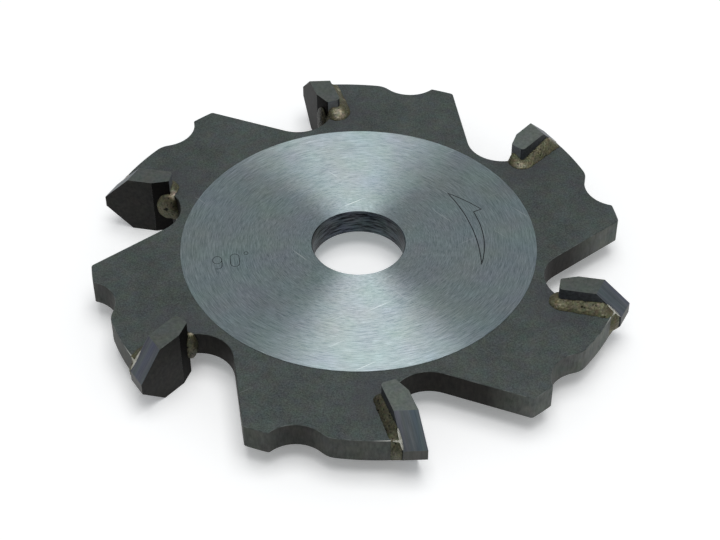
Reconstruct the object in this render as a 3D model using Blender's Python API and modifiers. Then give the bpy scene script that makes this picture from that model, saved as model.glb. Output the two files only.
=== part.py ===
"""A V-groove cutter: a flat steel body with six brazed carbide tips ground to a 90 degree point.

The origin is the centre of the bore on the middle plane of the body, and +Z is the axis of rotation.
The cutter turns counter-clockwise seen from +Z, and the first tip's cutting point lies on +X.
Lengths are in metres and angles in radians.
"""

import math

import bmesh
import bpy
import numpy as np

# The cut
TOOTH_COUNT = 6
CUTTING_DIAMETER = 0.118
GROOVE_ANGLE = math.radians(90.0)
HOOK_ANGLE = math.radians(6.0)
CLEARANCE_ANGLE = math.radians(10.4)

# Carbide tips, measured along and across the rake face
TIP_WIDTH = 0.014
TIP_LENGTH = 0.0147
TIP_THICKNESS = 0.0046
TIP_POINT_WIDTH = 0.0026
RAKE_FACE_LENGTH = 0.0111
ROOT_FACET_ANGLE = math.radians(21.0)
TIP_CORNER_RADIUS = 0.0009
TIP_FRONT_RADIUS = 0.0004

# Steel body, its rim set back from the cutting circle
TIP_PROJECTION = 0.00195
WEB_THICKNESS = 0.0058
EDGE_BREAK = 0.00012

# Ground ring round the bore
RING_THICKNESS = 0.0060
RING_TO_GULLET = 0.0021
BORE_DIAMETER = 0.020
BORE_CHAMFER = 0.00015

# Arm: heel, notch and relief, in the order met from the gullet behind the arm
HEEL_LEAD = math.radians(23.9)
HEEL_LAND = math.radians(5.3)
HEEL_CORNER_RADIUS = 0.0008
NOTCH_DEPTH = 0.0036
NOTCH_RADIUS = 0.0071
NOTCH_CORNER_RADIUS = 0.0005
HUMP_RADIUS = 0.0045
RELIEF_RISE = 0.00025
RELIEF_SHIFT = 0.0040

# Gullet in front of each tip
GULLET_RADIUS = 0.00775
GULLET_DEPTH = 0.0040
GULLET_LEAD = math.radians(4.0)

# Braze: a film in the joint, a bead on each face of the body, and a bulge in the gullet
GAP = 0.0003
BRAZE_FILM = 0.0003
BEAD_BEHIND_BACK = 0.0022
BEAD_BELOW_ROOT = 0.0018
BEAD_HEIGHT = 0.0017
BEAD_ROUNDING = 0.0015
MOUTH_CHAMFER = 0.0010
MOUTH_CLIMB = 0.0004
BULGE_RADIUS = 0.0028
BULGE_HEIGHT = 0.0010

# Fineness of arcs
ARC_STEP_ANGLE = math.radians(9.0)
ARC_STEP_LENGTH = 0.0010
BEAD_ROUNDING_STEPS = 3
TURNED_STEPS = 120

# Values that follow from the sizes above
TOOTH_PITCH = 2.0 * math.pi / TOOTH_COUNT
CUTTING_RADIUS = CUTTING_DIAMETER / 2
BODY_RADIUS = CUTTING_RADIUS - TIP_PROJECTION
RELIEF_RADIUS = BODY_RADIUS + RELIEF_RISE
GULLET_FLOOR = CUTTING_RADIUS - TIP_LENGTH - GULLET_DEPTH
RING_RADIUS = GULLET_FLOOR - RING_TO_GULLET
RELIEF_SLOPE = math.tan(HOOK_ANGLE + CLEARANCE_ANGLE)
FILM_OFFSET = GAP + BRAZE_FILM
SEAT_OFFSET = FILM_OFFSET + GAP
FILM_CHAMFER = MOUTH_CHAMFER - (math.sqrt(2) - 1) * GAP
RELIEF_CENTRE = np.array([0.0, RELIEF_SHIFT])
BEAD_FOOT = WEB_THICKNESS / 2 + GAP


# Plane geometry

def polar(radius, angle):
    """Point at this radius and angle from the axis of rotation."""
    return radius * np.array([math.cos(angle), math.sin(angle)])


RAKE_ORIGIN = polar(CUTTING_RADIUS, 0.0)
ALONG_RAKE = polar(1.0, HOOK_ANGLE)
AHEAD_OF_RAKE = polar(1.0, HOOK_ANGLE + math.pi / 2)


def from_rake(along, ahead):
    """Point of the first tooth, given from its cutting point along the rake face and ahead of it."""
    return RAKE_ORIGIN + along * ALONG_RAKE + ahead * AHEAD_OF_RAKE


def to_rake(point):
    """The two distances that from_rake takes, for a point of the first tooth."""
    away = point - RAKE_ORIGIN
    return away @ ALONG_RAKE, away @ AHEAD_OF_RAKE


def angle_of(vector):
    return math.atan2(vector[1], vector[0])


def arc(centre, start, end, turn):
    """Points from start to end on a circle about centre, counter-clockwise when turn is 1."""
    radius = np.linalg.norm(start - centre)
    first = angle_of(start - centre)
    sweep = (turn * (angle_of(end - centre) - first)) % (2 * math.pi)
    steps = max(math.ceil(sweep / ARC_STEP_ANGLE), math.ceil(radius * sweep / ARC_STEP_LENGTH), 1)
    return [centre + polar(radius, first + turn * sweep * i / steps) for i in range(steps + 1)]


def circles_meet(centre, radius, other, other_radius, side):
    """Where two circles meet: the left point seen from centre to other when side is 1."""
    apart = np.linalg.norm(other - centre)
    along = (apart**2 + radius**2 - other_radius**2) / (2 * apart)
    across = math.sqrt(radius**2 - along**2)
    direction = (other - centre) / apart
    left = np.array([-direction[1], direction[0]])
    return centre + along * direction + side * across * left


def line_meets_circle(start, direction, centre, radius):
    """Where a line that starts inside a circle leaves it."""
    away = start - centre
    half = away @ direction
    return start + direction * (math.sqrt(half**2 - away @ away + radius**2) - half)


def rounded(corners):
    """Points of a closed outline, with an arc of the given radius at each (corner, radius)."""
    points = []
    for i, (corner, radius) in enumerate(corners):
        if radius == 0:
            points.append(corner)
            continue
        before = corners[i - 1][0] - corner
        after = corners[(i + 1) % len(corners)][0] - corner
        before = before / np.linalg.norm(before)
        after = after / np.linalg.norm(after)
        half = math.acos(before @ after) / 2
        middle = (before + after) / np.linalg.norm(before + after)
        centre = corner + middle * radius / math.sin(half)
        reach = radius / math.tan(half)
        turn = 1 if before[0] * after[1] - before[1] * after[0] < 0 else -1
        points += arc(centre, corner + before * reach, corner + after * reach, turn)
    return points


# Outlines, all in the first tooth's place

def rim_point(offset):
    """Where the line at this offset behind the tip's back reaches the rim."""
    return line_meets_circle(
        from_rake(-TIP_LENGTH, -TIP_THICKNESS - offset), ALONG_RAKE, RELIEF_CENTRE, RELIEF_RADIUS
    )


def mouth(offset, chamfer):
    """The two ends of the chamfer at the rim, first the one on the rim, then the one in the joint."""
    rim = rim_point(offset)
    angle = angle_of(rim - RELIEF_CENTRE) - chamfer / RELIEF_RADIUS
    return RELIEF_CENTRE + polar(RELIEF_RADIUS, angle), rim - chamfer * ALONG_RAKE


def gullet_centre():
    return polar(GULLET_FLOOR + GULLET_RADIUS, GULLET_LEAD)


def seat_lip():
    """Where the seat's floor ends at the gullet."""
    along, ahead = to_rake(gullet_centre())
    floor = -TIP_LENGTH - SEAT_OFFSET
    return from_rake(floor, ahead - math.sqrt(GULLET_RADIUS**2 - (floor - along) ** 2))


def arm_corners():
    """One arm's outline, from its heel past its notch and tip seat to the gullet in front of it."""
    axis = np.zeros(2)
    heel_angle = HEEL_LEAD - TOOTH_PITCH
    heel = polar(BODY_RADIUS, heel_angle)
    land_end = polar(BODY_RADIUS, heel_angle + HEEL_LAND)
    land = arc(axis, heel, land_end, 1)

    notch_distance = BODY_RADIUS - NOTCH_DEPTH + NOTCH_RADIUS
    cosine = (BODY_RADIUS**2 + notch_distance**2 - NOTCH_RADIUS**2) / (2 * BODY_RADIUS * notch_distance)
    notch_centre = polar(notch_distance, heel_angle + HEEL_LAND + math.acos(cosine))
    from_notch = NOTCH_RADIUS + HUMP_RADIUS
    from_relief = RELIEF_RADIUS - HUMP_RADIUS
    hump_centre = circles_meet(notch_centre, from_notch, RELIEF_CENTRE, from_relief, -1)
    notch_end = notch_centre + (hump_centre - notch_centre) * NOTCH_RADIUS / from_notch
    hump_end = RELIEF_CENTRE + (hump_centre - RELIEF_CENTRE) * RELIEF_RADIUS / from_relief
    notch = arc(notch_centre, land_end, notch_end, -1)
    hump = arc(hump_centre, notch_end, hump_end, 1)

    chamfer_end, chamfer_start = mouth(SEAT_OFFSET, MOUTH_CHAMFER)
    relief = arc(RELIEF_CENTRE, hump_end, chamfer_end, 1)
    seat_corner = from_rake(-TIP_LENGTH - SEAT_OFFSET, -TIP_THICKNESS - SEAT_OFFSET)

    centre = gullet_centre()
    to_heel = polar(BODY_RADIUS, HEEL_LEAD) - centre
    tangent = angle_of(to_heel) + math.acos(GULLET_RADIUS / np.linalg.norm(to_heel))
    gullet = arc(centre, seat_lip(), centre + polar(GULLET_RADIUS, tangent), -1)

    corners = [(heel, HEEL_CORNER_RADIUS)]
    corners += [(point, 0) for point in land[1:-1]]
    corners += [(land_end, NOTCH_CORNER_RADIUS)]
    corners += [(point, 0) for point in notch[1:] + hump[1:] + relief[1:]]
    corners += [(chamfer_start, 0), (seat_corner, TIP_CORNER_RADIUS + SEAT_OFFSET)]
    corners += [(point, 0) for point in gullet]
    return corners


def body_outline():
    """Every arm in turn, each turned one tooth pitch further."""
    corners = []
    for tooth in range(TOOTH_COUNT):
        angle = tooth * TOOTH_PITCH
        turn = np.array([polar(1.0, angle), polar(1.0, angle + math.pi / 2)])
        corners += [(corner @ turn, radius) for corner, radius in arm_corners()]
    return rounded(corners)


def tip_outline(offset):
    """The tip seen along its width: rake face, root facet, root and back, open past its point."""
    facet_drop = (TIP_LENGTH - RAKE_FACE_LENGTH) * math.tan(ROOT_FACET_ANGLE)
    facet_shift = offset * math.tan(ROOT_FACET_ANGLE / 2)
    front_shift = offset * math.tan(math.pi / 4 - ROOT_FACET_ANGLE / 2)
    root = -TIP_LENGTH - offset
    back = -TIP_THICKNESS - offset
    return rounded([
        (from_rake(TIP_THICKNESS, offset), 0),
        (from_rake(-RAKE_FACE_LENGTH - facet_shift, offset), 0),
        (from_rake(root, -facet_drop + front_shift), TIP_FRONT_RADIUS + offset),
        (from_rake(root, back), TIP_CORNER_RADIUS + offset),
        (from_rake(TIP_THICKNESS, back), 0),
    ])


def film_outline():
    """The film in the joint and the fill in its chamfered mouth, reaching in under the tip."""
    chamfer_end, chamfer_start = mouth(FILM_OFFSET, FILM_CHAMFER)
    top = rim_point(0.0) + MOUTH_CLIMB * ALONG_RAKE
    top_along = to_rake(top)[0]
    front = to_rake(seat_lip())[1] + GAP
    root = -TIP_LENGTH - FILM_OFFSET
    under_root = -TIP_LENGTH + TIP_THICKNESS / 3
    under_back = -TIP_THICKNESS * 2 / 3
    return rounded([
        (chamfer_end, 0),
        (top, 0),
        (from_rake(top_along, under_back), 0),
        (from_rake(under_root, under_back), 0),
        (from_rake(under_root, front), 0),
        (from_rake(root, front), 0),
        (from_rake(root, -TIP_THICKNESS - FILM_OFFSET), TIP_CORNER_RADIUS + FILM_OFFSET),
        (chamfer_start, 0),
    ])


def bead_outline():
    """The beads on the faces of the body, reaching in under the tip and out past its ground flanks."""
    front = to_rake(seat_lip())[1]
    root = -TIP_LENGTH - BEAD_BELOW_ROOT
    behind = -TIP_THICKNESS - BEAD_BEHIND_BACK
    under_root = -TIP_LENGTH + TIP_THICKNESS / 2
    under_back = -TIP_THICKNESS / 2
    return rounded([
        (from_rake(0.0, behind), 0),
        (from_rake(0.0, under_back), 0),
        (from_rake(under_root, under_back), 0),
        (from_rake(under_root, front), 0),
        (from_rake(root, front), 0),
        (from_rake(root, behind), TIP_CORNER_RADIUS + BEAD_BELOW_ROOT),
    ])


def bulge_outline():
    """The bulge over the joint's end in the gullet, clear of the gullet's wall."""
    centre = gullet_centre()
    lip = seat_lip()
    outward = (lip - centre) / GULLET_RADIUS
    bulge_centre = lip + outward * (BULGE_RADIUS - BULGE_HEIGHT)
    wall = GULLET_RADIUS - GAP
    left = circles_meet(centre, wall, bulge_centre, BULGE_RADIUS, 1)
    right = circles_meet(centre, wall, bulge_centre, BULGE_RADIUS, -1)
    return arc(centre, right, left, 1)[:-1] + arc(bulge_centre, left, right, 1)[:-1]


# Solids

def weld(mesh):
    """Joins the caps of a plate to its walls and turns every face outward."""
    shape = bmesh.new()
    shape.from_mesh(mesh)
    bmesh.ops.remove_doubles(shape, verts=shape.verts, dist=1e-7)
    bmesh.ops.recalc_face_normals(shape, faces=shape.faces)
    shape.to_mesh(mesh)
    shape.free()


def evaluated_mesh(obj):
    bpy.context.view_layer.update()
    return bpy.data.meshes.new_from_object(obj.evaluated_get(bpy.context.evaluated_depsgraph_get()))


def plate(name, outline, half_thickness, edge_width=0.0, edge_steps=1):
    """Flat piece with this outline, centred on the middle plane, with its edges broken or rounded."""
    curve = bpy.data.curves.new(name, "CURVE")
    curve.dimensions = "2D"
    curve.fill_mode = "BOTH"
    curve.extrude = half_thickness - edge_width
    curve.bevel_depth = edge_width
    curve.bevel_resolution = edge_steps - 1
    curve.offset = -edge_width
    spline = curve.splines.new("POLY")
    spline.points.add(len(outline) - 1)
    for point, (x, y) in zip(spline.points, outline):
        point.co = (x, y, 0.0, 1.0)
    spline.use_cyclic_u = True
    guide = bpy.data.objects.new(name + "_outline", curve)
    cutters.objects.link(guide)
    mesh = evaluated_mesh(guide)
    bpy.data.objects.remove(guide)
    weld(mesh)
    return bpy.data.objects.new(name, mesh)


def turned(name, profile):
    """Solid of revolution from (radius, height) points, given from the top down its outer side."""
    mesh = bpy.data.meshes.new(name)
    edges = [(i, i + 1) for i in range(len(profile) - 1)]
    mesh.from_pydata([(radius, 0.0, height) for radius, height in profile], edges, [])
    obj = bpy.data.objects.new(name, mesh)
    screw = obj.modifiers.new("Turn", "SCREW")
    screw.axis = "Z"
    screw.steps = TURNED_STEPS
    screw.render_steps = TURNED_STEPS
    screw.use_merge_vertices = True
    screw.merge_threshold = 1e-6
    return obj


def ground_envelope(name):
    """Block bounded by the tip's ground flanks and point, drawn back along the clearance."""
    point_half = TIP_POINT_WIDTH / 2
    flank_run = (TIP_WIDTH - point_half) / math.tan(GROOVE_ANGLE / 2)
    far = -2 * TIP_LENGTH
    shape = bmesh.new()
    for ahead in (TIP_THICKNESS, -3 * TIP_THICKNESS):
        for along, height in ((0.0, point_half), (-flank_run, TIP_WIDTH), (far, TIP_WIDTH)):
            x, y = from_rake(along + ahead * RELIEF_SLOPE, ahead)
            shape.verts.new((x, y, height))
            shape.verts.new((x, y, -height))
    bmesh.ops.convex_hull(shape, input=shape.verts)
    bmesh.ops.recalc_face_normals(shape, faces=shape.faces)
    mesh = bpy.data.meshes.new(name)
    shape.to_mesh(mesh)
    shape.free()
    return bpy.data.objects.new(name, mesh)


def as_cutter(obj):
    """Keeps a helper solid out of the finished object."""
    cutters.objects.link(obj)
    obj.hide_render = True
    obj.display_type = "WIRE"
    return obj


def combine(obj, operation, other):
    boolean = obj.modifiers.new(other.name, "BOOLEAN")
    boolean.operation = operation
    boolean.solver = "EXACT"
    boolean.object = other


def material(name, colour, metallic, roughness):
    made = bpy.data.materials.new(name)
    made.use_nodes = True
    surface = made.node_tree.nodes["Principled BSDF"]
    surface.inputs["Base Color"].default_value = (*colour, 1.0)
    surface.inputs["Metallic"].default_value = metallic
    surface.inputs["Roughness"].default_value = roughness
    return made


def finish(obj, surface):
    """Puts a finished piece in the cutter's own collection."""
    cutter.objects.link(obj)
    obj.data.materials.clear()
    obj.data.materials.append(surface)


def place_round(name, mesh, surface):
    """One copy of the mesh at every tooth, numbered counter-clockwise from +X."""
    for tooth in range(TOOTH_COUNT):
        obj = bpy.data.objects.new(f"{name}_{tooth + 1}", mesh)
        obj.rotation_euler.z = tooth * TOOTH_PITCH
        finish(obj, surface)


for old in list(bpy.data.objects):
    bpy.data.objects.remove(old)
cutter = bpy.data.collections.new("v_groove_cutter")
bpy.context.scene.collection.children.link(cutter)
cutters = bpy.data.collections.new("cutters")
bpy.context.scene.collection.children.link(cutters)

steel = material("blasted_steel", (0.24, 0.25, 0.24), 1.0, 0.5)
carbide = material("ground_carbide", (0.13, 0.14, 0.14), 1.0, 0.35)
filler = material("braze", (0.32, 0.28, 0.18), 1.0, 0.55)

# The body is the web, a slightly thicker ring round the bore, and the bore with its broken edges
web = plate("cutter_body", body_outline(), WEB_THICKNESS / 2, EDGE_BREAK)
ring_half = RING_THICKNESS / 2
ring = as_cutter(turned("ring", [
    (0.0, ring_half),
    (RING_RADIUS, ring_half),
    (RING_RADIUS, -ring_half),
    (0.0, -ring_half),
]))
bore_radius = BORE_DIAMETER / 2
chamfer_foot = ring_half - BORE_CHAMFER
bore = as_cutter(turned("bore", [
    (0.0, RING_THICKNESS),
    (bore_radius + RING_THICKNESS - chamfer_foot, RING_THICKNESS),
    (bore_radius, chamfer_foot),
    (bore_radius, -chamfer_foot),
    (bore_radius + RING_THICKNESS - chamfer_foot, -RING_THICKNESS),
    (0.0, -RING_THICKNESS),
]))
combine(web, "UNION", ring)
combine(web, "DIFFERENCE", bore)
finish(web, steel)

# Each tip is a bar of the right section, ground to its flanks and point
envelope = as_cutter(ground_envelope("ground_envelope"))
tip_bar = as_cutter(plate("tip_bar", tip_outline(0.0), TIP_WIDTH / 2))
combine(tip_bar, "INTERSECT", envelope)
tip_mesh = evaluated_mesh(tip_bar)
weld(tip_mesh)
place_round("carbide_tip", tip_mesh, carbide)

# Each braze joint is its beads, film and bulge in one, cut away round the tip and ground with it
bead_top = BEAD_FOOT + BEAD_HEIGHT
bead = as_cutter(plate("bead", bead_outline(), bead_top, BEAD_ROUNDING, BEAD_ROUNDING_STEPS))
between = as_cutter(plate("between_beads", [
    from_rake(TIP_LENGTH, -TIP_LENGTH),
    from_rake(TIP_LENGTH, TIP_LENGTH),
    from_rake(-2 * TIP_LENGTH, TIP_LENGTH),
    from_rake(-2 * TIP_LENGTH, -TIP_LENGTH),
], BEAD_FOOT))
film = as_cutter(plate("film", film_outline(), BEAD_FOOT + GAP / 2))
bulge = as_cutter(plate("bulge", bulge_outline(), BEAD_FOOT + GAP / 3))
tip_space = as_cutter(plate("tip_space", tip_outline(GAP), TIP_WIDTH))
combine(bead, "DIFFERENCE", between)
combine(bead, "UNION", film)
combine(bead, "UNION", bulge)
combine(bead, "DIFFERENCE", tip_space)
combine(bead, "INTERSECT", envelope)
braze_mesh = evaluated_mesh(bead)
weld(braze_mesh)
place_round("braze", braze_mesh, filler)
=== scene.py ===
"""V-groove cutter on a pale floor: blasted steel body, ground hub ring, brazed carbide tips."""

import math

import bmesh
import bpy
import numpy as np
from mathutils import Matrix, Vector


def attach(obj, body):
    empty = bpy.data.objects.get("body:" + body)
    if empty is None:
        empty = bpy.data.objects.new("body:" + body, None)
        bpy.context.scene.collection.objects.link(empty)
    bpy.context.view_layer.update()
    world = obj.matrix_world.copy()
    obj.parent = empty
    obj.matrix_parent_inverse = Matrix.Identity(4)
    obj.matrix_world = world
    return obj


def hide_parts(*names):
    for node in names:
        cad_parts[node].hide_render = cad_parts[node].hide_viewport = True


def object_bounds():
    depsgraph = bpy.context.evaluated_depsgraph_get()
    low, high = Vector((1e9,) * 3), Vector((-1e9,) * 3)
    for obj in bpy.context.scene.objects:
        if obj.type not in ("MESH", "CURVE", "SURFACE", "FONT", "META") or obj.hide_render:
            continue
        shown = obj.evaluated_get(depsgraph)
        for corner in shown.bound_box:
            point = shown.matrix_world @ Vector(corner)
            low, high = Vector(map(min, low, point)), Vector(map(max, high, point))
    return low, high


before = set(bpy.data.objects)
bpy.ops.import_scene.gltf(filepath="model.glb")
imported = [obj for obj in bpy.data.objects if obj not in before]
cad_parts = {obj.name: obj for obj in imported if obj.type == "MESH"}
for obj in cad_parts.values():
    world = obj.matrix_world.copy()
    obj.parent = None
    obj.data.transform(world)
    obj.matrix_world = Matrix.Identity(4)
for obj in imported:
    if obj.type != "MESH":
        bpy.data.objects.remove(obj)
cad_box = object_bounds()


# Camera
# The photograph is taken from a little over 40 degrees above the table with a short telephoto lens,
# from the side of the sixth tooth.

CAMERA_PLACE = (0.08033, -0.26100, 0.25047)
CAMERA_ANGLES = (46.889, 0.163, 16.894)
SENSOR_WIDTH = 36.0
FOCAL_LENGTH = 85.76
NEAREST_SEEN = 0.01

scene = bpy.context.scene
camera_data = bpy.data.cameras.new("camera")
camera_data.sensor_width = SENSOR_WIDTH
camera_data.lens = FOCAL_LENGTH
camera_data.clip_start = NEAREST_SEEN
camera = bpy.data.objects.new("camera", camera_data)
camera.location = CAMERA_PLACE
camera.rotation_euler = [math.radians(angle) for angle in CAMERA_ANGLES]
scene.collection.objects.link(camera)
scene.camera = camera


# Light
# A wide softbox hangs level over the cutter, a little to the right of it, and a pale room fills the
# shadows. Together they light a white surface to about white.

SOFTBOX_PLACE = (0.14, 0.03, 2.0)
SOFTBOX_TURN = math.radians(20.0)
SOFTBOX_WIDTH = 1.3
SOFTBOX_LENGTH = 1.75
SOFTBOX_POWER = 23.0
ROOM_COLOUR = (0.95, 0.98, 1.0, 1.0)
ROOM_LEVEL = 0.385

scene.view_settings.view_transform = "Standard"
lamp = bpy.data.lights.new("softbox", "AREA")
lamp.shape = "RECTANGLE"
lamp.size = SOFTBOX_WIDTH
lamp.size_y = SOFTBOX_LENGTH
lamp.energy = SOFTBOX_POWER
softbox = bpy.data.objects.new("softbox", lamp)
softbox.location = SOFTBOX_PLACE
softbox.rotation_euler = (0.0, 0.0, SOFTBOX_TURN)
scene.collection.objects.link(softbox)
world = bpy.data.worlds.new("pale_room")
scene.world = world
world.use_nodes = True
room = world.node_tree.nodes["Background"]
room.inputs["Color"].default_value = ROOM_COLOUR
room.inputs["Strength"].default_value = ROOM_LEVEL


# Floor
# A matt white table top, wide enough to fill every view from above. The camera and the metal's
# reflections see it a little brighter than it lights the cutter.

FLOOR_HALF = 4.0
FLOOR_GLOW = 0.2
WHITE = (1.0, 1.0, 1.0, 1.0)


def new_node(tree, kind, feeds=(), **settings):
    """First output of a new shader node. The feeds give its inputs by name or number, and the settings
    its own choices."""
    made = tree.nodes.new("ShaderNode" + kind)
    for setting, choice in settings.items():
        setattr(made, setting, choice)
    for where, value in dict(feeds).items():
        if isinstance(value, bpy.types.NodeSocket):
            tree.links.new(value, made.inputs[where])
        else:
            made.inputs[where].default_value = value
    return next(output for output in made.outputs if output.enabled)


def calculated(tree, operation, *values):
    """Result of one step of arithmetic on numbers or outputs."""
    return new_node(tree, "Math", dict(enumerate(values)), operation=operation)


def finish(name, **values):
    """New material, its node tree, and its Principled surface with these sockets set."""
    made = bpy.data.materials.new(name)
    made.use_nodes = True
    surface = made.node_tree.nodes["Principled BSDF"]
    for socket, value in values.items():
        surface.inputs[socket.replace("_", " ")].default_value = value
    return made, made.node_tree, surface


def white_table():
    """Matt white, with a glow for rays from the camera, off the metal and through glass."""
    made, tree, surface = finish("white_table", Base_Color=WHITE, Roughness=0.6, Emission_Color=WHITE)
    path = tree.nodes.new("ShaderNodeLightPath").outputs
    seen = calculated(tree, "ADD", path["Is Camera Ray"], path["Is Glossy Ray"])
    seen = calculated(tree, "ADD", seen, path["Is Transmission Ray"])
    tree.links.new(calculated(tree, "MULTIPLY", seen, FLOOR_GLOW), surface.inputs["Emission Strength"])
    return made


floor_height = cad_box[0][2]
corners = np.array([[-1, -1], [1, -1], [1, 1], [-1, 1]]) * FLOOR_HALF
floor_mesh = bpy.data.meshes.new("floor")
floor_mesh.from_pydata(np.column_stack((corners, np.full(4, floor_height))), [], [(0, 1, 2, 3)])
floor_mesh.materials.append(white_table())
floor = bpy.data.objects.new("floor", floor_mesh)
scene.collection.objects.link(floor)


# Steel body
# One disc of tool steel, laser cut and grit blasted dark grey-green all over. A ring round the bore is
# ground bright on both faces, 0.1 mm above the blasted web, and the bore is turned.

RING_RADIUS = 0.0382
WEB_HALF = 0.0029
BORE_RADIUS = 0.0100

# How upright a normal is on a level face and at least on a sloping one, and how far past a radius or a
# height the centre of a face still counts as inside it
LEVEL = 0.9
SLOPING = 0.3
RING_MARGIN = 0.0003
WEB_MARGIN = 0.00001
BORE_MARGIN = 0.0001

# The first tooth's sixth of the disc, and what stands in it
SIXTH_START = math.radians(-38.0)
SIXTH_END = math.radians(22.0)
TIP_CORNER = (0.04486, -0.00611)
STAIN_NEAR = 0.0035
STAIN_FAR = 0.0085
STAIN_SHARE = 0.35
STREAK_START = -0.0100
STREAK_END = -0.0066
STREAK_RADIUS = 0.0535

# Painted shade on the cut walls, in place of the shade in the gullets and of light from one side: it is
# black near the gullets' floors, fades outward, and reaches further out on one side of the disc
SHADED_TO = 0.0478
UNSHADED_FROM = 0.0572
SHADE_DRIFT = (0.04, 0.08, 0.0)

# Hairline scratches, and how small the direction from the axis is made for the ring's streaks
SCRATCH_TURNS = (0.5, 2.3)
SCRATCH_SCALE = 2600.0
SCRATCH_STRETCH = (0.03, 1.0, 1.0)
STREAK_SHRINK = 0.0016


def merged_copy(name):
    """Copy of a node's mesh with its loose triangles joined, free of the normals it was packed with."""
    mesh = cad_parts[name].data.copy()
    for packed in ("custom_normal", "sharp_face"):
        mesh.attributes.remove(mesh.attributes[packed])
    shape = bmesh.new()
    shape.from_mesh(mesh)
    bmesh.ops.remove_doubles(shape, verts=shape.verts, dist=1e-7)
    shape.to_mesh(mesh)
    shape.free()
    mesh.materials.clear()
    return mesh


def centres_and_normals(mesh):
    """The centre and the normal of every face, one row each."""
    count = len(mesh.polygons)
    centres, normals = np.empty(count * 3), np.empty(count * 3)
    mesh.polygons.foreach_get("center", centres)
    mesh.polygons.foreach_get("normal", normals)
    return centres.reshape(count, 3), normals.reshape(count, 3)


def smooth_walls(mesh, degrees):
    """Smooth shading of the walls alone, with every edge that turns more than this kept sharp."""
    mesh.set_sharp_from_angle(angle=math.radians(degrees))
    _, normals = centres_and_normals(mesh)
    mesh.polygons.foreach_set("use_smooth", np.abs(normals[:, 2]) < LEVEL)
    mesh.update()


def show(name, mesh, slot, *nodes):
    """Shows a finished mesh in place of its nodes, riding on the one body."""
    piece = bpy.data.objects.new(name, mesh)
    scene.collection.objects.link(piece)
    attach(piece, "root")
    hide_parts(*nodes)


def place_of(tree):
    """Place on the piece, in metres."""
    coordinates = tree.nodes.new("ShaderNodeTexCoord")
    return coordinates.outputs["Object"]


def noise(tree, place, scale, detail=3.0, roughness=0.65, stretch=(1.0, 1.0, 1.0)):
    """Fractal noise of this many cells to the metre, drawn out where the stretch is below 1."""
    drawn = new_node(tree, "Mapping", {"Vector": place, "Scale": stretch})
    feeds = {"Vector": drawn, "Scale": scale, "Detail": detail, "Roughness": roughness}
    return new_node(tree, "TexNoise", feeds)


def ranged(tree, value, low, high, start=0.0, end=1.0):
    """A number that goes from start to end while the value goes from low to high, and no further."""
    limits = {"From Min": low, "From Max": high, "To Min": start, "To Max": end}
    return new_node(tree, "MapRange", {"Value": value, **limits})


def mixed(tree, share, first, second):
    """From the first tone to the second by this share. A tone is an output or a colour."""
    feeds = {"Fac": share}
    for socket, tone in (("Color1", first), ("Color2", second)):
        feeds[socket] = (*tone, 1.0) if isinstance(tone, tuple) else tone
    return new_node(tree, "MixRGB", feeds)


def between(tree, value, low, high, dark, light):
    """Colour that goes from dark to light while the value goes from low to high."""
    return mixed(tree, ranged(tree, value, low, high), dark, light)


def tinted(tree, tone, place, scale, share, stretch=(1.0, 1.0, 1.0)):
    """The tone with this share of faint colour clouds laid over it."""
    drawn = new_node(tree, "Mapping", {"Vector": place, "Scale": stretch})
    clouds = tree.nodes.new("ShaderNodeTexNoise")
    clouds.inputs["Scale"].default_value = scale
    tree.links.new(drawn, clouds.inputs["Vector"])
    colours = {"Fac": share, "Color1": tone, "Color2": clouds.outputs["Color"]}
    return new_node(tree, "MixRGB", colours, blend_type="OVERLAY")


def scratched(tree, tone, place, light):
    """The tone with a few straight hairline scratches across it, in two directions."""
    for turn in SCRATCH_TURNS:
        turned = new_node(tree, "Mapping", {"Vector": place, "Rotation": (0.0, 0.0, turn)})
        hair = noise(tree, turned, SCRATCH_SCALE, 1.0, 0.5, SCRATCH_STRETCH)
        tone = mixed(tree, ranged(tree, hair, 0.765, 0.84), tone, light)
    return tone


def coloured(tree, surface, tone):
    """Gives the surface this tone."""
    tree.links.new(tone, surface.inputs["Base Color"])


def bump(tree, surface, height, distance, strength):
    """Gives the surface relief of this height in metres."""
    relief = new_node(tree, "Bump", {"Height": height, "Distance": distance, "Strength": strength})
    tree.links.new(relief, surface.inputs["Normal"])


def flattened(tree, place):
    """The place brought down to the middle plane."""
    return new_node(tree, "VectorMath", {0: place, 1: (1.0, 1.0, 0.0)}, operation="MULTIPLY")


def first_sixth(tree, place):
    """The same place on the first tooth's sixth of the disc, as separate values along, across and up, and
    its distance from the axis. Its angle about the axis is wrapped into that sixth."""
    parts = tree.nodes.new("ShaderNodeSeparateXYZ")
    tree.links.new(place, parts.inputs["Vector"])
    x, y, up = parts.outputs
    angle = calculated(tree, "WRAP", calculated(tree, "ARCTAN2", y, x), SIXTH_END, SIXTH_START)
    reach = new_node(tree, "VectorMath", {0: flattened(tree, place)}, operation="LENGTH")
    along = calculated(tree, "MULTIPLY", calculated(tree, "COSINE", angle), reach)
    across = calculated(tree, "MULTIPLY", calculated(tree, "SINE", angle), reach)
    return along, across, up, reach


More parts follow.
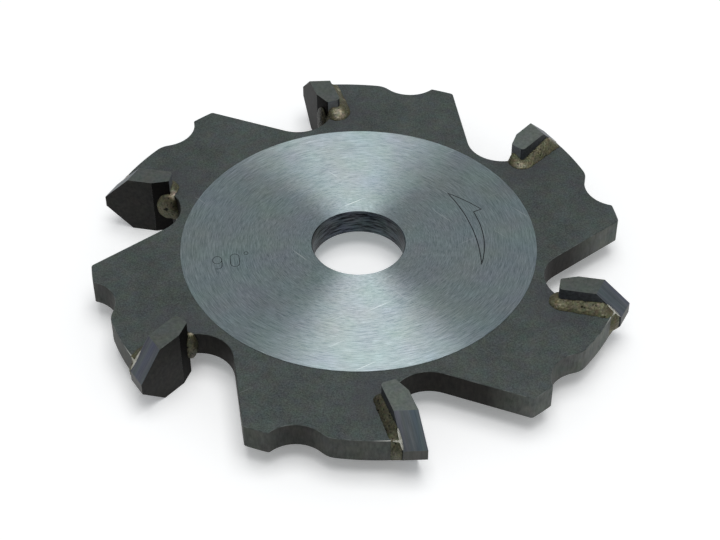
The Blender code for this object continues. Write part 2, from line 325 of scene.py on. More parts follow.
def blasted_steel():
    """Dark face: fine grit over soft clouds, some scratches, and a violet heat stain at each tip."""
    made, tree, surface = finish("blasted_steel", Metallic=0.4, Roughness=0.62)
    place = place_of(tree)
    grit = noise(tree, place, 3200.0, 4.0, 0.7)
    cloud = noise(tree, place, 120.0, 5.0)
    shade = calculated(tree, "ADD", grit, calculated(tree, "MULTIPLY", cloud, 0.35))
    tone = between(tree, shade, 0.50, 0.86, (0.030, 0.037, 0.035), (0.094, 0.114, 0.107))
    tone = tinted(tree, tone, place, 420.0, 0.18)
    tone = scratched(tree, tone, place, (0.15, 0.17, 0.165))
    along, across, *_ = first_sixth(tree, place)
    here = new_node(tree, "CombineXYZ", {"X": along, "Y": across})
    heated = new_node(tree, "VectorMath", {0: here, 1: (*TIP_CORNER, 0.0)}, operation="DISTANCE")
    wavy = calculated(tree, "MULTIPLY_ADD", noise(tree, place, 350.0), 0.008, -0.004)
    stain = ranged(tree, calculated(tree, "ADD", heated, wavy), STAIN_NEAR, STAIN_FAR, STAIN_SHARE, 0.0)
    coloured(tree, surface, mixed(tree, stain, tone, (0.052, 0.047, 0.062)))
    bump(tree, surface, grit, 0.00004, 0.4)
    return made


def cut_wall():
    """Laser-cut wall: faint lines from face to face, black with painted shade near the gullets' floors and
    further out on one side of the disc.
    """
    made, tree, surface = finish("cut_wall", Metallic=0.3, Roughness=0.6, Specular_IOR_Level=0.2)
    place = place_of(tree)
    lines = noise(tree, place, 1500.0, 4.0, 0.7, (1.0, 1.0, 0.3))
    shade = calculated(tree, "MULTIPLY_ADD", noise(tree, place, 300.0), 0.5, lines)
    unshaded_wall = between(tree, shade, 0.50, 1.00, (0.068, 0.074, 0.065), (0.150, 0.163, 0.150))
    # Painted shade: this black tone is mixed in near the gullets' floors, and further out on one side of the
    # disc
    shaded_wall = between(tree, shade, 0.50, 1.00, (0.004, 0.0035, 0.003), (0.020, 0.018, 0.015))
    *_, reach = first_sixth(tree, place)
    sideways = new_node(tree, "VectorMath", {0: place, 1: SHADE_DRIFT}, operation="DOT_PRODUCT")
    share = ranged(tree, calculated(tree, "ADD", reach, sideways), SHADED_TO, UNSHADED_FROM)
    tone = mixed(tree, share, shaded_wall, unshaded_wall)
    coloured(tree, surface, tinted(tree, tone, place, 300.0, 0.14))
    bump(tree, surface, lines, 0.00006, 0.4)
    return made


def ground_ring():
    """Bright metal with fine streaks round the axis, which spread its reflections into fans. The streaks
    are noise on the direction from the axis, made small, and the distance from it."""
    made, tree, surface = finish("ground_ring", Metallic=1.0, Roughness=0.32, Anisotropic=1.0)
    place = place_of(tree)
    *_, reach = first_sixth(tree, place)
    outward = new_node(tree, "VectorMath", {0: flattened(tree, place)}, operation="NORMALIZE")
    turned = new_node(tree, "VectorMath", {0: outward, "Scale": STREAK_SHRINK}, operation="SCALE")
    stepped = new_node(tree, "CombineXYZ", {"Z": reach})
    polar_place = new_node(tree, "VectorMath", {0: turned, 1: stepped}, operation="ADD")
    streaks = noise(tree, polar_place, 7000.0, 5.0, 0.8)
    tone = between(tree, streaks, 0.35, 0.65, (0.202, 0.258, 0.270), (0.535, 0.618, 0.640))
    tone = scratched(tree, tone, place, (0.70, 0.75, 0.75))
    coloured(tree, surface, tinted(tree, tone, place, 130.0, 0.10))
    tree.links.new(outward, surface.inputs["Tangent"])
    bump(tree, surface, streaks, 0.00003, 0.35)
    return made


def turned_bore():
    """Dark metal with the turning tool's rings along the bore."""
    made, tree, surface = finish("turned_bore", Metallic=1.0, Roughness=0.4)
    place = place_of(tree)
    rings = noise(tree, place, 2200.0, 4.0, 0.75, (0.12, 0.12, 1.0))
    tone = between(tree, rings, 0.38, 0.62, (0.004, 0.005, 0.007), (0.078, 0.094, 0.107))
    coloured(tree, surface, tinted(tree, tone, place, 300.0, 0.2))
    bump(tree, surface, rings, 0.00010, 0.6)
    return made


def worn_edge_and_highlight():
    """Broken edge, rubbed a little paler, a paleness that also paints the highlight the rounded edge
    catches, and bright where the tip's grinding ran over the rim.
    """
    made, tree, surface = finish("worn_edge_and_highlight", Metallic=0.8, Roughness=0.45)
    place = place_of(tree)
    _, across, _, reach = first_sixth(tree, place)
    on_rim = calculated(tree, "GREATER_THAN", reach, STREAK_RADIUS)
    behind = calculated(tree, "LESS_THAN", across, 0.0)
    most = calculated(tree, "MULTIPLY", on_rim, behind)
    brushed = ranged(tree, across, STREAK_START, STREAK_END, 0.0, most)
    rub = noise(tree, place, 600.0)
    # Partly wear and partly a painted highlight along the edge
    wear_and_highlight = between(tree, rub, 0.4, 0.65, (0.075, 0.086, 0.081), (0.18, 0.20, 0.19))
    coloured(tree, surface, mixed(tree, brushed, wear_and_highlight, (0.75, 0.75, 0.70)))
    return made


WEB, WALL, RING, BORE, EDGE, MARK = range(6)
body_mesh = merged_copy("cutter_body")
centres, normals = centres_and_normals(body_mesh)
reach = np.hypot(centres[:, 0], centres[:, 1])
upward = np.abs(normals[:, 2])
regions = np.where(upward > LEVEL, WEB, np.where(upward > SLOPING, EDGE, WALL))
above_web = np.abs(centres[:, 2]) > WEB_HALF + WEB_MARGIN
regions[(reach < RING_RADIUS + RING_MARGIN) & above_web] = RING
regions[reach < BORE_RADIUS + BORE_MARGIN] = BORE
body_mesh.polygons.foreach_set("material_index", regions.astype(np.int32))
for made in (blasted_steel(), cut_wall(), ground_ring(), turned_bore(), worn_edge_and_highlight()):
    body_mesh.materials.append(made)


# Engraved marks
# The arrow that shows the direction of rotation and the number of degrees of the groove are cut into
# the marked face of the ring as V-shaped grooves, and their walls are dark.

RING_HALF = 0.0030
ARROW_WIDTH = 0.00020
NUMBER_WIDTH = 0.00012
MARK_DEPTH = 0.00010
SHARPEST_MITRE = 0.35

# The arrow: an arc about the bore, the barb, a hollow head and a flatter arc back
ARROW_RADIUS = 0.0270
ARROW_SPAN = (1.7, 38.2)
ARROW_BARB = (0.02262, 0.01809)
ARROW_HEAD = (0.01835, 0.01995)
ARROW_TIP = (0.01427, 0.02115)
ARROW_INSIDE = (0.02157, 0.01253)

# The number: the half width of its figures, how far their bowls' centres stand above and below the
# middle, its slant, and where its figures stand
FIGURE_HALF = 0.00095
FIGURE_RISE = 0.00100
NUMBER_TURN = math.radians(24.0)
NINE_PLACE = (-0.0268, -0.0148)
NOUGHT_PLACE = (-0.0235, -0.0130)
DEGREE_PLACE = (-0.0220, -0.0102)
DEGREE_RADIUS = 0.00045


def sweep(centre, radius, start, end, count, stretch=1.0):
    """Points on an arc from one angle to another in degrees, stretched along y."""
    angle = np.radians(np.linspace(start, end, count))
    return np.array(centre) + radius * np.column_stack((np.cos(angle), stretch * np.sin(angle)))


def circle_through(first, middle, last, count):
    """Points on the arc through three points, evenly spaced by angle. The centre is as far from the
    first as from the other two, which gives two linear equations."""
    (ax, ay), (bx, by), (cx, cy) = first, middle, last
    steps = np.array([[bx - ax, by - ay], [cx - ax, cy - ay]])
    squares = [bx**2 + by**2 - ax**2 - ay**2, cx**2 + cy**2 - ax**2 - ay**2]
    centre = np.linalg.solve(2 * steps, squares)
    radius = math.hypot(ax - centre[0], ay - centre[1])
    start = math.atan2(ay - centre[1], ax - centre[0])
    turn = (math.atan2(cy - centre[1], cx - centre[0]) - start + math.pi) % (2 * math.pi) - math.pi
    angle = start + np.linspace(0.0, turn, count)
    return centre + radius * np.column_stack((np.cos(angle), np.sin(angle)))


def rotation(angle):
    """Matrix that turns row vectors by this angle, counter-clockwise."""
    return np.array([[math.cos(angle), math.sin(angle)], [-math.sin(angle), math.cos(angle)]])


def groove(path, width, depth, height, closed):
    """Tube that cuts a V-shaped groove: a triangle carried along the path, mitred at its corners. At this
    height it is as wide as the groove, and it stands as far above it as the groove is deep."""
    after = np.roll(path, -1, 0) - path
    before = path - np.roll(path, 1, 0)
    if not closed:
        after[-1], before[0] = before[-1], after[0]
    after /= np.linalg.norm(after, axis=1, keepdims=True)
    before /= np.linalg.norm(before, axis=1, keepdims=True)
    middle = after + before
    middle /= np.linalg.norm(middle, axis=1, keepdims=True)
    mitre = 1 / np.clip((middle * after).sum(1, keepdims=True), SHARPEST_MITRE, 1)
    left = np.column_stack((-middle[:, 1], middle[:, 0])) * mitre * width
    flat = np.stack((path + left, path - left, path), 1)
    level = np.broadcast_to(height + depth * np.array([1.0, 1.0, -1.0]), flat.shape[:2])
    return np.dstack((flat, level))


def closed_grid(points, looped=False):
    """Vertices and faces of a tube of rings. Where the rings don't meet, the middle of each end ring
    closes it with a fan."""
    rings, around = points.shape[:2]
    ring, step = np.meshgrid(np.arange(rings - (not looped)), np.arange(around), indexing="ij")
    here, beside = ring * around + step, ring * around + (step + 1) % around
    behind = (ring + 1) % rings * around
    faces = np.stack((here, beside, behind + (step + 1) % around, behind + step), -1)
    faces = faces.reshape(-1, 4).tolist()
    vertices = points.reshape(-1, 3)
    if not looped:
        step = np.arange(around)
        beside, middle = (step + 1) % around, np.full(around, rings * around)
        last = (rings - 1) * around
        faces += np.stack((beside, step, middle), -1).tolist()
        faces += np.stack((last + step, last + beside, middle + 1), -1).tolist()
        vertices = np.vstack((vertices, points[[0, -1]].mean(axis=1)))
    return vertices, faces


def one_mesh(name, shapes, finish_of=0):
    """Mesh of several closed shapes, each given as its vertices and faces, all facing outward."""
    mesh = bpy.data.meshes.new(name)
    bases = np.cumsum([0] + [len(vertices) for vertices, _ in shapes])
    faces = [[index + base for index in face] for (_, own), base in zip(shapes, bases) for face in own]
    mesh.from_pydata(np.vstack([vertices for vertices, _ in shapes]), [], faces)
    mesh.polygons.foreach_set("material_index", np.full(len(faces), finish_of, np.int32))
    shape = bmesh.new()
    shape.from_mesh(mesh)
    bmesh.ops.recalc_face_normals(shape, faces=shape.faces)
    shape.to_mesh(mesh)
    shape.free()
    return mesh


def applied(mesh, *modifiers):
    """The mesh after these modifiers, each a kind with its settings."""
    obj = bpy.data.objects.new(mesh.name, mesh)
    scene.collection.objects.link(obj)
    for kind, settings in modifiers:
        modifier = obj.modifiers.new(kind, kind)
        for setting, choice in settings.items():
            setattr(modifier, setting, choice)
    bpy.context.view_layer.update()
    made = bpy.data.meshes.new_from_object(obj.evaluated_get(bpy.context.evaluated_depsgraph_get()))
    bpy.data.objects.remove(obj)
    return made


def arrow_outline():
    """The arrow's closed outline, counter-clockwise from its tail."""
    outer = sweep((0.0, 0.0), ARROW_RADIUS, *ARROW_SPAN, 28)
    head = circle_through(ARROW_BARB, ARROW_HEAD, ARROW_TIP, 8)
    inner = circle_through(ARROW_TIP, ARROW_INSIDE, outer[0], 30)
    return np.vstack((outer, head, inner[1:-1]))


def number_strokes():
    """The strokes of the number, each with whether it is closed and where it stands."""
    top, bottom = (0.0, FIGURE_RISE), (0.0, -FIGURE_RISE)
    bowl = sweep((0.0, 0.00080), FIGURE_HALF, 8, 350, 26, 1.22)
    tail = np.vstack(([(FIGURE_HALF, 0.0007)], sweep(bottom, FIGURE_HALF, 0, -125, 12)))
    nought = np.vstack((sweep(top, FIGURE_HALF, 0, 180, 14), sweep(bottom, FIGURE_HALF, 180, 360, 14)))
    degree = sweep((0.0, 0.0), DEGREE_RADIUS, 0, 345, 20)
    return (
        (bowl, True, NINE_PLACE), (tail, False, NINE_PLACE),
        (nought, True, NOUGHT_PLACE), (degree, True, DEGREE_PLACE),
    )


def engraved_mark():
    """Dark oxide in the grooves."""
    made, _, surface = finish("engraved_mark", Metallic=0.3, Roughness=0.7)
    surface.inputs["Base Color"].default_value = (0.012, 0.013, 0.014, 1.0)
    return made


marks = [(arrow_outline(), ARROW_WIDTH, True)]
for stroke, closed, centre in number_strokes():
    marks.append((stroke @ rotation(NUMBER_TURN) + centre, NUMBER_WIDTH, closed))
shapes = [
    closed_grid(groove(path, width, MARK_DEPTH, RING_HALF, closed), closed) for path, width, closed in marks
]
graver = bpy.data.objects.new("graver", one_mesh("graver", shapes, MARK))
scene.collection.objects.link(graver)
body_mesh.materials.append(engraved_mark())
engraving = {"operation": "DIFFERENCE", "solver": "EXACT", "object": graver, "use_self": True}
body_mesh = applied(body_mesh, ("BOOLEAN", engraving))
bpy.data.objects.remove(graver)
smooth_walls(body_mesh, 30.0)
show("steel_body", body_mesh, "steel_body", "cutter_body")


# Carbide tips
# Six bars of sintered tungsten carbide. The rake face, the two flanks and the flat point are ground
# after brazing; the sides, the back, the root and its facet stay as pressed.

TOOTH_PITCH = math.radians(60.0)
HOOK_ANGLE = math.radians(6.0)
EDGE_RADIUS = 0.00008
BEVELLED = math.radians(20.0)
SIDE_SHADES = (0.93, 1.40, 1.10, 1.00, 0.94, 1.28)
ROOT_SHADE = (0.004, 0.004, 0.003)
ROOT_SHADE_TOP = 0.0024
ROOT_SHADE_GONE = 0.0036
ROOT_SHADE_SHARE = 0.95
DOWN_THE_FLANK = (0.06, 1.0, 0.06)
UP_THE_TIP = (1.0, 1.0, 0.2)


def attribute(tree, name):
    """Outputs of a value kept on the mesh."""
    kept = tree.nodes.new("ShaderNodeAttribute")
    kept.attribute_name = name
    return kept.outputs


def carbide(name, low, high, scale, stretch=(1.0, 1.0, 1.0), tint=0.12, gullet_shaded=False, shaded=False, **values):
    """Carbide finish with fine lines drawn out along one direction of the tip, between two tones. One with
    painted gullet shade is black inside the gullet and unshaded above the body. A shaded one is paler on
    some tips."""
    made, tree, surface = finish(name, **values)
    place = attribute(tree, "tip_place")["Vector"]
    lines = noise(tree, place, scale, 4.0, 0.7, stretch)
    tone = between(tree, lines, 0.3, 0.7, low, high)
    tone = tinted(tree, tone, place, scale / 4, tint, stretch)
    if shaded:
        shade = attribute(tree, "tip_shade")["Vector"]
        tone = new_node(tree, "VectorMath", {0: tone, 1: shade}, operation="MULTIPLY")
    if gullet_shaded:
        # Painted shade: black low on the face, inside the gullet, fading out just above the body's top face
        *_, up, _ = first_sixth(tree, place_of(tree))
        tone = mixed(tree, ranged(tree, up, ROOT_SHADE_TOP, ROOT_SHADE_GONE, ROOT_SHADE_SHARE, 0.0), tone, ROOT_SHADE)
    coloured(tree, surface, tone)
    bump(tree, surface, lines, 0.00002, 0.3)
    return made


DULL = {"Metallic": 0.1, "Roughness": 0.6, "Specular_IOR_Level": 0.2}
# Settings for painted shade: no metal and almost no reflection
SHADE_DULL = {"Metallic": 0.0, "Roughness": 0.7, "Specular_IOR_Level": 0.1}
GROUND = {"Metallic": 0.6, "Roughness": 0.5}
SIDE, FLANK, RAKE, BACK, POINT, TIP_EDGE_HIGHLIGHT, FACET, ROOT = range(8)
tip_finishes = [
    carbide("pressed_side", (0.075, 0.086, 0.078), (0.125, 0.140, 0.129), 1400.0, shaded=True,
            Metallic=0.7, Roughness=0.5),
    carbide("ground_flank", (0.066, 0.074, 0.092), (0.134, 0.149, 0.170), 1800.0, DOWN_THE_FLANK, 0.3,
            **GROUND),
    carbide("ground_rake", (0.004, 0.004, 0.0035), (0.021, 0.020, 0.0175), 1100.0, tint=0.2, **DULL),
    carbide("pressed_back", (0.022, 0.024, 0.026), (0.060, 0.065, 0.070), 1500.0, **DULL),
    carbide("ground_point", (0.040, 0.041, 0.037), (0.070, 0.071, 0.065), 1800.0, UP_THE_TIP, **GROUND),
    # Painted highlight: the bevels along the tip's edges are paler than the faces beside them
    carbide("tip_edge_highlight", (0.080, 0.088, 0.086), (0.170, 0.182, 0.178), 1800.0, Metallic=0.7, Roughness=0.4),
    # Painted shade: the facet faces into the gullet and is painted near black, over the pressed carbide
    carbide("pressed_facet_in_shade", (0.001, 0.001, 0.001), (0.006, 0.005, 0.004), 1500.0, **SHADE_DULL),
    # The root has painted shade where it goes down into the gullet
    carbide("pressed_root", (0.19, 0.20, 0.205), (0.31, 0.325, 0.33), 1500.0, gullet_shaded=True,
            Metallic=0.7, Roughness=0.45),
]


def vertices_of(mesh):
    """The place of every vertex, one row each."""
    places = np.empty(len(mesh.vertices) * 3)
    mesh.vertices.foreach_get("co", places)
    return places.reshape(-1, 3)


for tooth in range(6):
    name = f"carbide_tip_{tooth + 1}"
    tip_mesh = merged_copy(name)
    hooked = tooth * TOOTH_PITCH + HOOK_ANGLE
    along_tip = (math.cos(hooked), math.sin(hooked), 0.0)
    ahead_of_tip = (-math.sin(hooked), math.cos(hooked), 0.0)
    _, normals = centres_and_normals(tip_mesh)
    ahead, outward, upward = normals @ ahead_of_tip, normals @ along_tip, np.abs(normals[:, 2])
    # Each face takes the finish of the side that its normal points to
    regions = np.full(len(normals), BACK)
    regions[upward > 0.95] = SIDE
    regions[outward > 0.4] = FLANK
    regions[(outward > 0.4) & (upward < 0.1)] = POINT
    regions[(outward < -0.2) & (ahead > 0.2)] = FACET
    regions[outward < -0.95] = ROOT
    regions[ahead > 0.97] = RAKE
    tip_mesh.polygons.foreach_set("material_index", regions.astype(np.int32))
    points = vertices_of(tip_mesh)
    own = np.column_stack((points @ along_tip, points @ ahead_of_tip, points[:, 2])) + 0.1 * tooth
    shades = np.full(own.size, SIDE_SHADES[tooth])
    for kept, values in (("tip_place", own.ravel()), ("tip_shade", shades)):
        tip_mesh.attributes.new(kept, "FLOAT_VECTOR", "POINT").data.foreach_set("vector", values)
    for made in tip_finishes:
        tip_mesh.materials.append(made)
    tip_mesh = applied(tip_mesh, ("BEVEL", {
        "width": EDGE_RADIUS, "segments": 2, "limit_method": "ANGLE", "angle_limit": BEVELLED,
        "material": TIP_EDGE_HIGHLIGHT,
    }))
    smooth_walls(tip_mesh, 15.0)
    show(f"tip_{tooth + 1}", tip_mesh, "carbide", name)


# Braze
# Silver solder that runs through each seat and sets as a bead along the tip's back and root on both
# faces of the body, and as a drop in the gullet. The flank grinding cuts its outer ends flat.

# The tip, its seat and the ground surface, in the first tooth's own directions: along the rake face
# from its cutting line, ahead of it, and up
TIP_LENGTH = 0.0147
TIP_THICKNESS = 0.0046
TIP_CORNER_RADIUS = 0.0009
POINT_HALF = 0.0013
RELIEF_SLOPE = math.tan(math.radians(16.4))
CUTTING_RADIUS = 0.059
FILM = 0.0010
OVERLAP = 0.0001
SEAT_HALF = WEB_HALF - 0.00003
LIP_AHEAD = -0.00148

# The wedge of solder at the seat's mouth on the rim, its two lumps, and the seam on the ground flanks
FILM_END = (-0.0034, -0.0030)
MOUTH_INNER = -0.0045
MOUTH_OUTER = (-0.00343, -0.00249)
MOUTH_WIDTH = 0.0019
MOUTH_CENTRE = (-0.0034, -0.0050, 0.0)
MOUTH_RADII = (0.0017, 0.0013, 0.0022)
MOUTH_CORNER = (-0.0024, -0.0047, 0.0)
MOUTH_CORNER_RADII = (0.0007, 0.0006, 0.0022)
SLIVER = (0.0014, 0.0046)
SLIVER_RADIUS = 0.00030
SLIVER_SUNK = 0.00005
SLIVER_RINGS = 40

# Beads: where along them a joint's widths and climbs hold, their ends, and what lies inside the metal
BEAD_RINGS = 90
BEAD_SIDES = 36
BEAD_STATIONS = (0.004, 0.0145, 0.0172)
LOWER_BEAD = (0.0031, 0.0172)
RIM_DOME = 0.0005
GULLET_DOME = 0.0016
BEAD_POWER = 1.4
INSIDE_TIP = 0.0004
INSIDE_WEB = 0.0005
LEAN_LENGTH = 0.003
RAMP_SLOPE = 0.93
RAMP_DELAY = 0.00015
LEAST_CLIMB = 0.00005

# The skin: pits and the larger holes of a joint, each with its depth and radius, and ripples
SOLDER_VOXEL = 0.00010
PITS = 170
SMALLEST_PIT = 0.35
PIT_SPREAD = 0.75
PIT = (0.00020, 0.00010)
HOLE = (0.00040, 0.00022)
PIT_DARKENING = 0.0003
RIPPLES = ((0.00005, 0.0022), (0.00003, 0.0006))
SKIN_FADE = 0.0004


def round_the_tip(start, end, count):
    """Points and outward normals on the tip's back, round corner and root, by distance from its cutting
    line: straight down the back, a quarter circle, and straight along the root."""
    travelled = np.linspace(start, end, count)
    corner = TIP_CORNER_RADIUS
    turn_at = TIP_LENGTH - corner
    angle = np.clip((travelled - turn_at) / corner, 0.0, math.pi / 2)
    on_root = np.clip(travelled - turn_at - corner * math.pi / 2, 0.0, None)
    on_back = np.minimum(travelled, turn_at)
    along = -on_back - corner * np.sin(angle)
    ahead = corner - TIP_THICKNESS - corner * np.cos(angle) + on_root
    return travelled, np.column_stack((along, ahead)), np.column_stack((-np.sin(angle), -np.cos(angle)))


def bead(side, ends, widths, climbs):
    """A rounded section carried round the tip, low and wide over the body and steep up the tip. Width and
    climb run between their values at the stations, and both ends close like a dome. Each quarter of the
    section is part of a superellipse. The outer end rises in a ramp and leans back with the rim."""
    travelled, place, out = round_the_tip(*ends, BEAD_RINGS)
    size = 1.0
    for left, dome in ((travelled - ends[0], RIM_DOME), (ends[1] - travelled, GULLET_DOME)):
        size = size * np.sqrt(np.clip(1 - np.clip(1 - left / dome, 0, 1) ** 2, 0.0004, 1))
    width = np.interp(travelled, BEAD_STATIONS, widths) * size
    ramp = np.maximum(RAMP_SLOPE * (travelled - ends[0]) - RAMP_DELAY, LEAST_CLIMB)
    climb = np.minimum(np.interp(travelled, BEAD_STATIONS, climbs) * size, ramp)
    angle = np.linspace(0.0, 2 * math.pi, BEAD_SIDES, endpoint=False)
    across = np.sign(np.cos(angle)) * np.abs(np.cos(angle)) ** BEAD_POWER
    up = np.sign(np.sin(angle)) * np.abs(np.sin(angle)) ** BEAD_POWER
    offset = across * np.where(across > 0, width[:, None], INSIDE_TIP)
    height = WEB_HALF + up * np.where(up > 0, climb[:, None], INSIDE_WEB)
    flat = place[:, None, :] + out[:, None, :] * offset[..., None]
    lean = np.clip(1 - (travelled - ends[0]) / LEAN_LENGTH, 0, 1)
    flat[..., 0] -= RELIEF_SLOPE * offset * lean[:, None]
    return np.dstack((flat, side * height))


def slab(corners):
    """Flat slab of this outline, as thick as the seat."""
    outline = np.array(corners)
    levels = (-SEAT_HALF, 0.0, SEAT_HALF)
    return np.stack([np.column_stack((outline, np.full(len(outline), level))) for level in levels])


def drop(centre, radii):
    """Ellipsoid of rings from pole to pole."""
    polar = np.linspace(0.05, math.pi - 0.05, 20)
    around = np.linspace(0, 2 * math.pi, 32, endpoint=False)
    down, turn = np.meshgrid(polar, around, indexing="ij")
    ball = np.dstack((np.sin(down) * np.cos(turn), np.sin(down) * np.sin(turn), np.cos(down)))
    return ball * radii + centre


def sliver(low, high):
    """Thin round bead that fills the corner between the tip's back and the ground flank, between two
    heights, thinner towards its ends."""
    height = np.linspace(low, high, SLIVER_RINGS)
    middle = np.column_stack((-SLIVER_SUNK - height, np.full(SLIVER_RINGS, -TIP_THICKNESS), height))
    thick = SLIVER_RADIUS * np.sqrt(np.clip(1 - np.linspace(-1, 1, SLIVER_RINGS) ** 2, 0.01, 1))
    angle = np.linspace(0.0, 2 * math.pi, 12, endpoint=False)
    around = np.column_stack((np.cos(angle) * 0.7, np.sin(angle), np.cos(angle) * 0.7))
    return middle[:, None, :] + thick[:, None, None] * around


def melted(name, ends, widths, climbs, drops):
    """Mesh of one joint in the first tooth's place: its beads, films, mouth and drops run together."""
    back, root = -TIP_THICKNESS, -TIP_LENGTH
    inner, outer = root - FILM, back - FILM
    parts = [
        bead(1, ends, widths, climbs),
        bead(-1, LOWER_BEAD, widths, climbs),
        slab([(inner, outer), (FILM_END[0], outer), (FILM_END[1], back + OVERLAP), (inner, back + OVERLAP)]),
        slab([(inner, outer), (root + OVERLAP, outer), (root + OVERLAP, LIP_AHEAD), (inner, LIP_AHEAD)]),
        slab([
            (MOUTH_INNER, back + OVERLAP), (MOUTH_INNER, outer),
            (MOUTH_OUTER[0], back - MOUTH_WIDTH), (MOUTH_OUTER[1], back + OVERLAP),
        ]),
        drop(MOUTH_CENTRE, MOUTH_RADII),
        drop(MOUTH_CORNER, MOUTH_CORNER_RADII),
        sliver(*SLIVER),
        sliver(*SLIVER) * (1, 1, -1),
    ]
    parts += [drop(centre, radii) for centre, radii in drops]
    return applied(
        one_mesh(name, [closed_grid(part) for part in parts]),
        ("REMESH", {"mode": "VOXEL", "voxel_size": SOLDER_VOXEL}),
        ("SMOOTH", {"factor": 0.5, "iterations": 4}),
    )


def bell(places, centre, radius):
    """Gaussian of the distance from a centre: 1 there, and near 0 past three radii."""
    return np.exp(-((places - centre) ** 2).sum(1) / (2 * radius**2))


def pitted(places, draw, holes):
    """Relief of the pits: a dip at random vertices, most of them small, and a larger one at the vertex
    nearest to each hole."""
    chosen = places[draw.integers(0, len(places), PITS)]
    sizes = SMALLEST_PIT + PIT_SPREAD * draw.uniform(0.0, 1.0, PITS) ** 2
    dips = [(centre, size, PIT) for centre, size in zip(chosen, sizes)]
    for hole, size in holes:
        nearest = np.argmin(((places - hole) ** 2).sum(1))
        dips.append((places[nearest], size, HOLE))
    relief = np.zeros(len(places))
    for centre, size, (depth, radius) in dips:
        relief -= depth * size * bell(places, centre, radius * size)
    return relief


def ripple(places, draw, wavelength, waves=24):
    """Smooth random relief, mostly between -1 and 1: a sum of waves in random directions."""
    direction = draw.normal(size=(waves, 3))
    direction *= 2 * math.pi / wavelength / np.linalg.norm(direction, axis=1, keepdims=True)
    phase = draw.uniform(0, 2 * math.pi, waves)
    return np.sin(places @ direction.T + phase).sum(1) / math.sqrt(waves)


def past_flank(places):
    """How far each place stands out past the two ground flanks, measured along the tip. They lean in by
    the relief slope behind the rake face and by 45 degrees above and below the point."""
    return places @ (1.0, -RELIEF_SLOPE, 0.0) + np.abs(places[:, 2]) - POINT_HALF


def shaved(places):
    """The places, with each that stands past a ground flank moved straight back to it."""
    plane = np.array([1.0, -RELIEF_SLOPE, 1.0])
    back = np.clip(past_flank(places), 0.0, None)[:, None] * plane / (plane @ plane)
    back[:, 2] *= np.sign(places[:, 2])
    return places - back


def solder_joint(tooth, ends, widths, climbs, drops, tone, glints_and_shades, holes=()):
    """One joint in its place: melted, roughened, and ground with the flanks. Its tone, its painted glints
    and painted shade, and its pits are kept as how pale each vertex is."""
    draw = np.random.default_rng(40 + tooth)
    mesh = melted(f"braze_joint_{tooth + 1}", ends, widths, climbs, drops)
    places = vertices_of(mesh)
    facing = np.empty(places.size)
    mesh.vertex_normals.foreach_get("vector", facing)
    relief = pitted(places, draw, holes)
    pale = tone + relief / PIT_DARKENING
    # Painted light: a spot with a gain above 0 is a painted glint, and one below 0 is painted shade
    for spot, radius, gain in glints_and_shades:
        pale += gain * bell(places, spot, radius)
    mesh.attributes.new("pale", "FLOAT", "POINT").data.foreach_set("value", pale)
    relief += sum(height * ripple(places, draw, wavelength) for height, wavelength in RIPPLES)
    relief *= np.clip(-past_flank(places) / SKIN_FADE, 0, 1)
    places = places + facing.reshape(-1, 3) * relief[:, None]
    ground_off = past_flank(places) > 0
    places = shaved(places)
    flat = places[:, :2] @ rotation(HOOK_ANGLE) + [CUTTING_RADIUS, 0.0]
    flat = flat @ rotation(tooth * TOOTH_PITCH)
    mesh.vertices.foreach_set("co", np.column_stack((flat, places[:, 2])).ravel())
    corner_of, starts = np.empty(len(mesh.loops), np.int32), np.empty(len(mesh.polygons), np.int32)
    mesh.loops.foreach_get("vertex_index", corner_of)
    mesh.polygons.foreach_get("loop_start", starts)
    smeared = np.minimum.reduceat(ground_off[corner_of].astype(np.int32), starts)
    mesh.polygons.foreach_set("material_index", smeared)
    mesh.polygons.foreach_set("use_smooth", np.ones(len(mesh.polygons), bool))
    mesh.update()
    return mesh


def solder():
    """Grainy brown solder, black in its pits and cream where it is palest, as at its painted glints."""
    made, tree, surface = finish("solder", Metallic=0.45, Roughness=0.5)
    place = place_of(tree)
    grain = noise(tree, place, 2000.0, 5.0, 0.8)
    flecks = noise(tree, place, 450.0, 3.0, 0.6)
    shade = calculated(tree, "MULTIPLY_ADD", grain, 1.3, attribute(tree, "pale")["Fac"])
    shade = calculated(tree, "MULTIPLY_ADD", flecks, 0.6, shade)
    shade = calculated(tree, "SUBTRACT", shade, 0.95)
    tone = between(tree, shade, -0.1, 0.5, (0.008, 0.008, 0.003), (0.125, 0.118, 0.066))
    tone = mixed(tree, ranged(tree, shade, 0.5, 1.1), tone, (0.56, 0.50, 0.37))
    coloured(tree, surface, tinted(tree, tone, place, 1100.0, 0.3))
    bump(tree, surface, grain, 0.00008, 0.6)
    return made


def ground_solder():
    """Bright smear where the flank grinding cuts the solder."""
    made, tree, surface = finish("ground_solder", Metallic=0.7, Roughness=0.4)
    cloud = noise(tree, place_of(tree), 900.0)
    coloured(tree, surface, between(tree, cloud, 0.35, 0.6, (0.42, 0.41, 0.34), (0.72, 0.71, 0.64)))
    return made
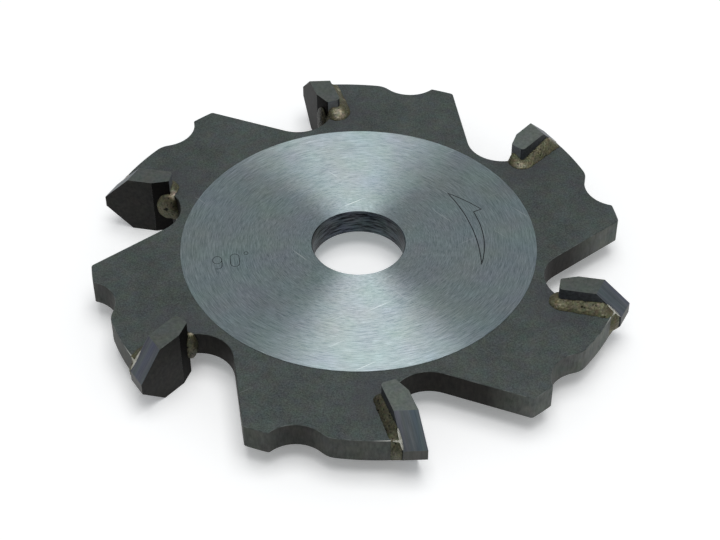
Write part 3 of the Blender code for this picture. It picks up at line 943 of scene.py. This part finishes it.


# The six joints. Widths and climbs are given at the bead's stations, a drop as its centre and radii, each
# painted glint and each patch of painted shade as its centre, radius and how much paler it makes the solder
# (below 0 for shade), and a hole as its place and size.
JOINTS = (
    {
        "ends": (0.0030, 0.0173),
        "widths": (0.0025, 0.0020, 0.0016),
        "climbs": (0.0021, 0.0014, 0.0012),
        "drops": (((-0.0156, -0.0018, -0.0004), (0.0011, 0.0009, 0.0026)),),
        "tone": 0.38,
        "glints_and_shades": (
            ((-0.0145, -0.0060, 0.0036), 0.0014, 0.10),
            ((-0.0055, -0.0060, 0.0036), 0.0014, 0.06),
        ),
        "holes": (
            ((-0.00960, -0.00545, 0.00350), 0.65),
            ((-0.00742, -0.00505, 0.00400), 0.45),
            ((-0.00678, -0.00515, 0.00390), 0.45),
            ((-0.00639, -0.00500, 0.00395), 0.4),
            ((-0.00935, -0.00465, 0.00450), 0.4),
        ),
    },
    {
        "ends": (0.0029, 0.0176),
        "widths": (0.0027, 0.0022, 0.0019),
        "climbs": (0.0027, 0.0010, 0.0026),
        "drops": (((-0.0158, -0.0017, 0.0), (0.0014, 0.0011, 0.0030)),),
        "tone": 0.38,
        "glints_and_shades": (
            ((-0.0160, -0.0050, 0.0036), 0.0008, 0.22),
            ((-0.0047, -0.0049, 0.0046), 0.0004, 0.70),
        ),
        "holes": (
            ((-0.01015, -0.00550, 0.00355), 0.45),
            ((-0.01005, -0.00602, 0.00322), 0.45),
        ),
    },
    {
        "ends": (0.0029, 0.0176),
        "widths": (0.0028, 0.0026, 0.0023),
        "climbs": (0.0016, 0.0021, 0.0023),
        "drops": (
            ((-0.0152, -0.0018, 0.0002), (0.0015, 0.0012, 0.0034)),
            ((-0.0130, -0.0006, 0.0), (0.0024, 0.0010, 0.0044)),
        ),
        "tone": 0.40,
        "glints_and_shades": (
            ((-0.0163, -0.0035, 0.0042), 0.0011, 0.52),
            ((-0.0122, 0.0003, 0.0018), 0.0032, -0.62),
            ((-0.0070, -0.0066, 0.0034), 0.0004, 0.60),
            ((-0.0110, -0.0068, 0.0034), 0.0003, 0.50),
        ),
    },
    {
        "ends": (0.0030, 0.0174),
        "widths": (0.0019, 0.0014, 0.0013),
        "climbs": (0.0018, 0.0015, 0.0015),
        "drops": (
            ((-0.0139, -0.0010, 0.0), (0.0025, 0.0014, 0.0034)),
            ((-0.0152, -0.0015, -0.0012), (0.0016, 0.0014, 0.0028)),
        ),
        "tone": 0.28,
        "glints_and_shades": (
            ((-0.01565, -0.0016, 0.0031), 0.0006, 1.40),
            ((-0.0168, -0.0040, 0.0036), 0.0013, 0.32),
        ),
        "holes": (((-0.0142, 0.0004, 0.0002), 1.0),),
    },
    {
        "ends": (0.0029, 0.0172),
        "widths": (0.0019, 0.0013, 0.0010),
        "climbs": (0.0018, 0.0012, 0.0012),
        "drops": (((-0.0151, -0.0015, -0.0001), (0.0017, 0.0014, 0.0034)),),
        "tone": 0.26,
        "glints_and_shades": (
            ((-0.0155, -0.0014, 0.0032), 0.0004, 0.80),
            ((-0.0155, -0.0010, 0.0), 0.0025, -0.12),
        ),
    },
    {
        "ends": (0.0030, 0.0152),
        "widths": (0.0020, 0.0016, 0.0012),
        "climbs": (0.0018, 0.0014, 0.0012),
        "drops": (((-0.0156, -0.0018, 0.0), (0.0012, 0.0009, 0.0028)),),
        "tone": 0.20,
        "glints_and_shades": (((-0.0031, -0.0054, 0.0008), 0.0003, 0.50),),
        "holes": (
            ((-0.01320, -0.00520, 0.00347), 0.5),
            ((-0.01245, -0.00535, 0.00340), 0.5),
            ((-0.01055, -0.00510, 0.00360), 0.5),
            ((-0.01120, -0.00595, 0.00303), 0.5),
        ),
    },
)
braze_finishes = [solder(), ground_solder()]
for tooth, joint in enumerate(JOINTS):
    joint_mesh = solder_joint(tooth, **joint)
    for made in braze_finishes:
        joint_mesh.materials.append(made)
    show(f"braze_joint_{tooth + 1}", joint_mesh, "braze", f"braze_{tooth + 1}")
